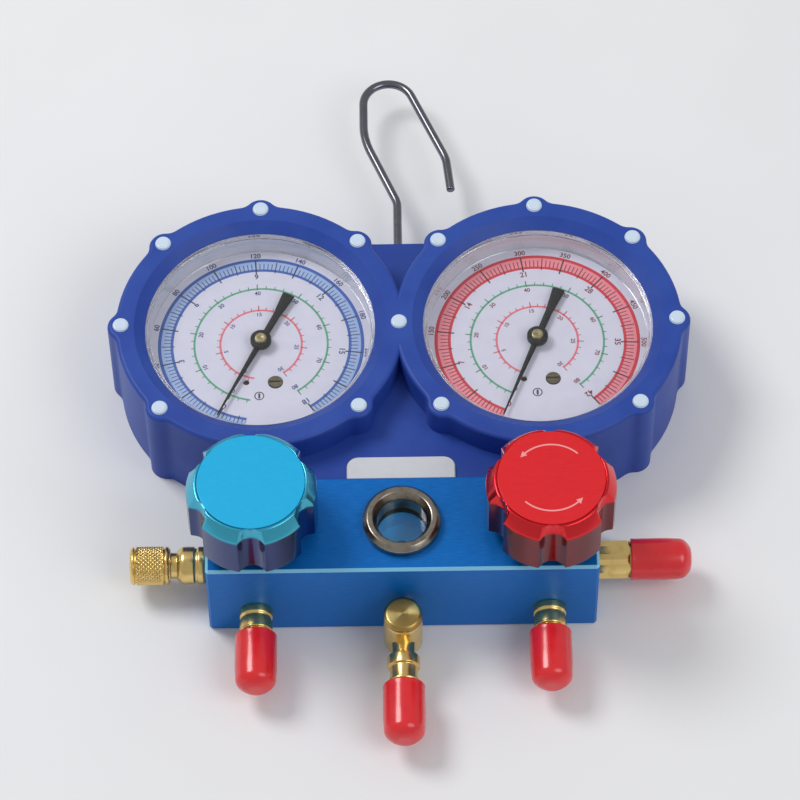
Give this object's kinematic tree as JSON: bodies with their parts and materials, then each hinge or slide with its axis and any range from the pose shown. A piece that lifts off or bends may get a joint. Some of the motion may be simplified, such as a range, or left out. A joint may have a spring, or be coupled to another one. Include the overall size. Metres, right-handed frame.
{
  "type": "refrigerant manifold gauge",
  "caption": "Anodised manifold block with screw-down valves under lobed knobs, sight glass, capped flare ports, twin dial gauges in a rubber cover and a swivel hook.",
  "frame": {"origin": "centre of the manifold block's back face", "axes": "+X to the high side, +Y up to the hook, +Z out of the dials and knobs"},
  "size_m": [0.1992, 0.2688, 0.0657],
  "materials": {
    "anodised_block": "light blue satin anodised",
    "brass": "turned, bright",
    "nickel": "nickel plated, turned",
    "clear_glass": "clear",
    "seal_rubber": "matt",
    "cover_rubber": "satin moulded",
    "stud_white": "satin",
    "plate_silver": "bare satin",
    "hook_steel": "bright drawn wire",
    "case_steel": "drawn, satin",
    "dial_white": "matt white print ground",
    "pointer_black": "satin black",
    "knob_blue": "dark blue gloss",
    "knob_red": "dark red gloss",
    "disc_blue": "satin",
    "disc_red": "satin",
    "cap_vinyl": "soft dipped vinyl, gloss"
  },
  "bodies": {
    "manifold": {"manifold_block": "anodised_block", "gallery_plug": "brass", "low_valve_bonnet": "brass", "high_valve_bonnet": "brass", "low_hose_port": "brass", "high_hose_port": "brass", "centre_tee": "brass", "centre_tee_plug": "brass", "right_side_port": "brass", "left_side_port": "brass", "left_valve_core": "brass", "low_gauge_socket": "brass", "high_gauge_socket": "brass", "low_bourdon_tube": "brass", "high_bourdon_tube": "brass", "low_movement_frame": "brass", "high_movement_frame": "brass", "low_movement_bridge": "brass", "high_movement_bridge": "brass", "sight_glass_ring": "nickel", "sight_glass_window": "clear_glass", "low_gauge_lens": "clear_glass", "high_gauge_lens": "clear_glass", "sight_glass_seal": "seal_rubber", "valve_packings": "seal_rubber", "gauge_cover": "cover_rubber", "cover_studs": "stud_white", "face_plate": "plate_silver", "hook_bush": "hook_steel", "low_gauge_case": "case_steel", "high_gauge_case": "case_steel", "low_gauge_dial": "dial_white", "high_gauge_dial": "dial_white"},
    "low_piston": {"low_valve_piston": "brass"},
    "low_knob": {"low_knob": "knob_blue", "low_knob_disc": "disc_blue", "low_valve_stem": "brass"},
    "low_sector": {"low_gear_sector": "brass"},
    "low_link": {"low_link": "brass"},
    "low_pointer": {"low_pointer": "pointer_black", "low_pointer_pinion": "brass"},
    "low_zero_screw": {"low_zero_screw": "case_steel"},
    "low_cap": {"low_port_cap": "cap_vinyl"},
    "high_piston": {"high_valve_piston": "brass"},
    "high_knob": {"high_knob": "knob_red", "high_knob_disc": "disc_red", "high_valve_stem": "brass"},
    "high_sector": {"high_gear_sector": "brass"},
    "high_link": {"high_link": "brass"},
    "high_pointer": {"high_pointer": "pointer_black", "high_pointer_pinion": "brass"},
    "high_zero_screw": {"high_zero_screw": "case_steel"},
    "high_cap": {"high_port_cap": "cap_vinyl"},
    "hook": {"hook": "hook_steel"},
    "centre_cap": {"centre_port_cap": "cap_vinyl"},
    "right_cap": {"right_port_cap": "cap_vinyl"},
    "left_seal": {"left_cap_seal": "seal_rubber"},
    "left_cap": {"left_screw_cap": "brass"},
    "left_core_pin": {"left_core_pin": "brass"}
  },
  "joints": [
    {"name": "low_valve_lift", "type": "slide", "parent": "manifold", "child": "low_piston", "axis": [0, 0, 1], "range_m": [0, 0.0045]},
    {"name": "low_valve_turn", "type": "hinge", "parent": "low_piston", "child": "low_knob", "pos_m": [-0.049, 0, 0.045], "axis": [0, 0, 1], "range_deg": [0, 1080]},
    {"name": "low_sector_turn", "type": "hinge", "parent": "manifold", "child": "low_sector", "pos_m": [-0.03392, 0.06642, 0.0198], "axis": [0, 0, 1], "range_deg": [-2.5, 43]},
    {"name": "low_pointer_turn", "type": "hinge", "parent": "manifold", "child": "low_pointer", "pos_m": [-0.0475, 0.08, 0.0198], "axis": [0, 0, 1], "range_deg": [-302, 18]},
    {"name": "low_link_swing", "type": "hinge", "parent": "low_sector", "child": "low_link", "pos_m": [-0.03042, 0.06036, 0.019], "axis": [0, 0, 1], "range_deg": [-44, 3]},
    {"name": "low_zero_turn", "type": "hinge", "parent": "manifold", "child": "low_zero_screw", "pos_m": [-0.0425, 0.0645, 0.023], "axis": [0, 0, 1], "range_deg": [-90, 90]},
    {"name": "low_cap_pull", "type": "slide", "parent": "manifold", "child": "low_cap", "axis": [0, -1, 0], "range_m": [0, 0.03]},
    {"name": "high_valve_lift", "type": "slide", "parent": "manifold", "child": "high_piston", "axis": [0, 0, 1], "range_m": [0, 0.0045]},
    {"name": "high_valve_turn", "type": "hinge", "parent": "high_piston", "child": "high_knob", "pos_m": [0.049, 0, 0.045], "axis": [0, 0, 1], "range_deg": [0, 1080]},
    {"name": "high_sector_turn", "type": "hinge", "parent": "manifold", "child": "high_sector", "pos_m": [0.06108, 0.06642, 0.0198], "axis": [0, 0, 1], "range_deg": [0, 43]},
    {"name": "high_pointer_turn", "type": "hinge", "parent": "manifold", "child": "high_pointer", "pos_m": [0.0475, 0.08, 0.0198], "axis": [0, 0, 1], "range_deg": [-302, 0.5]},
    {"name": "high_link_swing", "type": "hinge", "parent": "high_sector", "child": "high_link", "pos_m": [0.06458, 0.06036, 0.019], "axis": [0, 0, 1], "range_deg": [-44, 3]},
    {"name": "high_zero_turn", "type": "hinge", "parent": "manifold", "child": "high_zero_screw", "pos_m": [0.0525, 0.0645, 0.023], "axis": [0, 0, 1], "range_deg": [-90, 90]},
    {"name": "high_cap_pull", "type": "slide", "parent": "manifold", "child": "high_cap", "axis": [0, -1, 0], "range_m": [0, 0.03]},
    {"name": "hook_swivel", "type": "hinge", "parent": "manifold", "child": "hook", "pos_m": [0, 0.118, 0.013], "axis": [0, 1, 0], "continuous": true},
    {"name": "centre_cap_pull", "type": "slide", "parent": "manifold", "child": "centre_cap", "axis": [0, -1, 0], "range_m": [0, 0.03]},
    {"name": "right_cap_pull", "type": "slide", "parent": "manifold", "child": "right_cap", "axis": [1, 0, 0], "range_m": [0, 0.03]},
    {"name": "left_cap_travel", "type": "slide", "parent": "manifold", "child": "left_seal", "axis": [-1, 0, 0], "range_m": [0, 0.01016]},
    {"name": "left_cap_turn", "type": "hinge", "parent": "left_seal", "child": "left_cap", "pos_m": [-0.084, 0, 0.012], "axis": [-1, 0, 0], "range_deg": [0, 2880]},
    {"name": "left_core_press", "type": "slide", "parent": "manifold", "child": "left_core_pin", "axis": [1, 0, 0], "range_m": [0, 0.0015], "stiffness_N_per_m": 800, "springref_m": -0.002}
  ],
  "couplings": [
    {"joint": "low_valve_lift", "follows": "low_valve_turn", "m_per_rad": 0.0002387},
    {"joint": "low_pointer_turn", "follows": "low_sector_turn", "ratio": -7},
    {"joint": "low_link_swing", "follows": "low_sector_turn", "ratio": -1},
    {"joint": "high_valve_lift", "follows": "high_valve_turn", "m_per_rad": 0.0002387},
    {"joint": "high_pointer_turn", "follows": "high_sector_turn", "ratio": -7},
    {"joint": "high_link_swing", "follows": "high_sector_turn", "ratio": -1},
    {"joint": "left_cap_travel", "follows": "left_cap_turn", "m_per_rad": 0.000202}
  ]
}
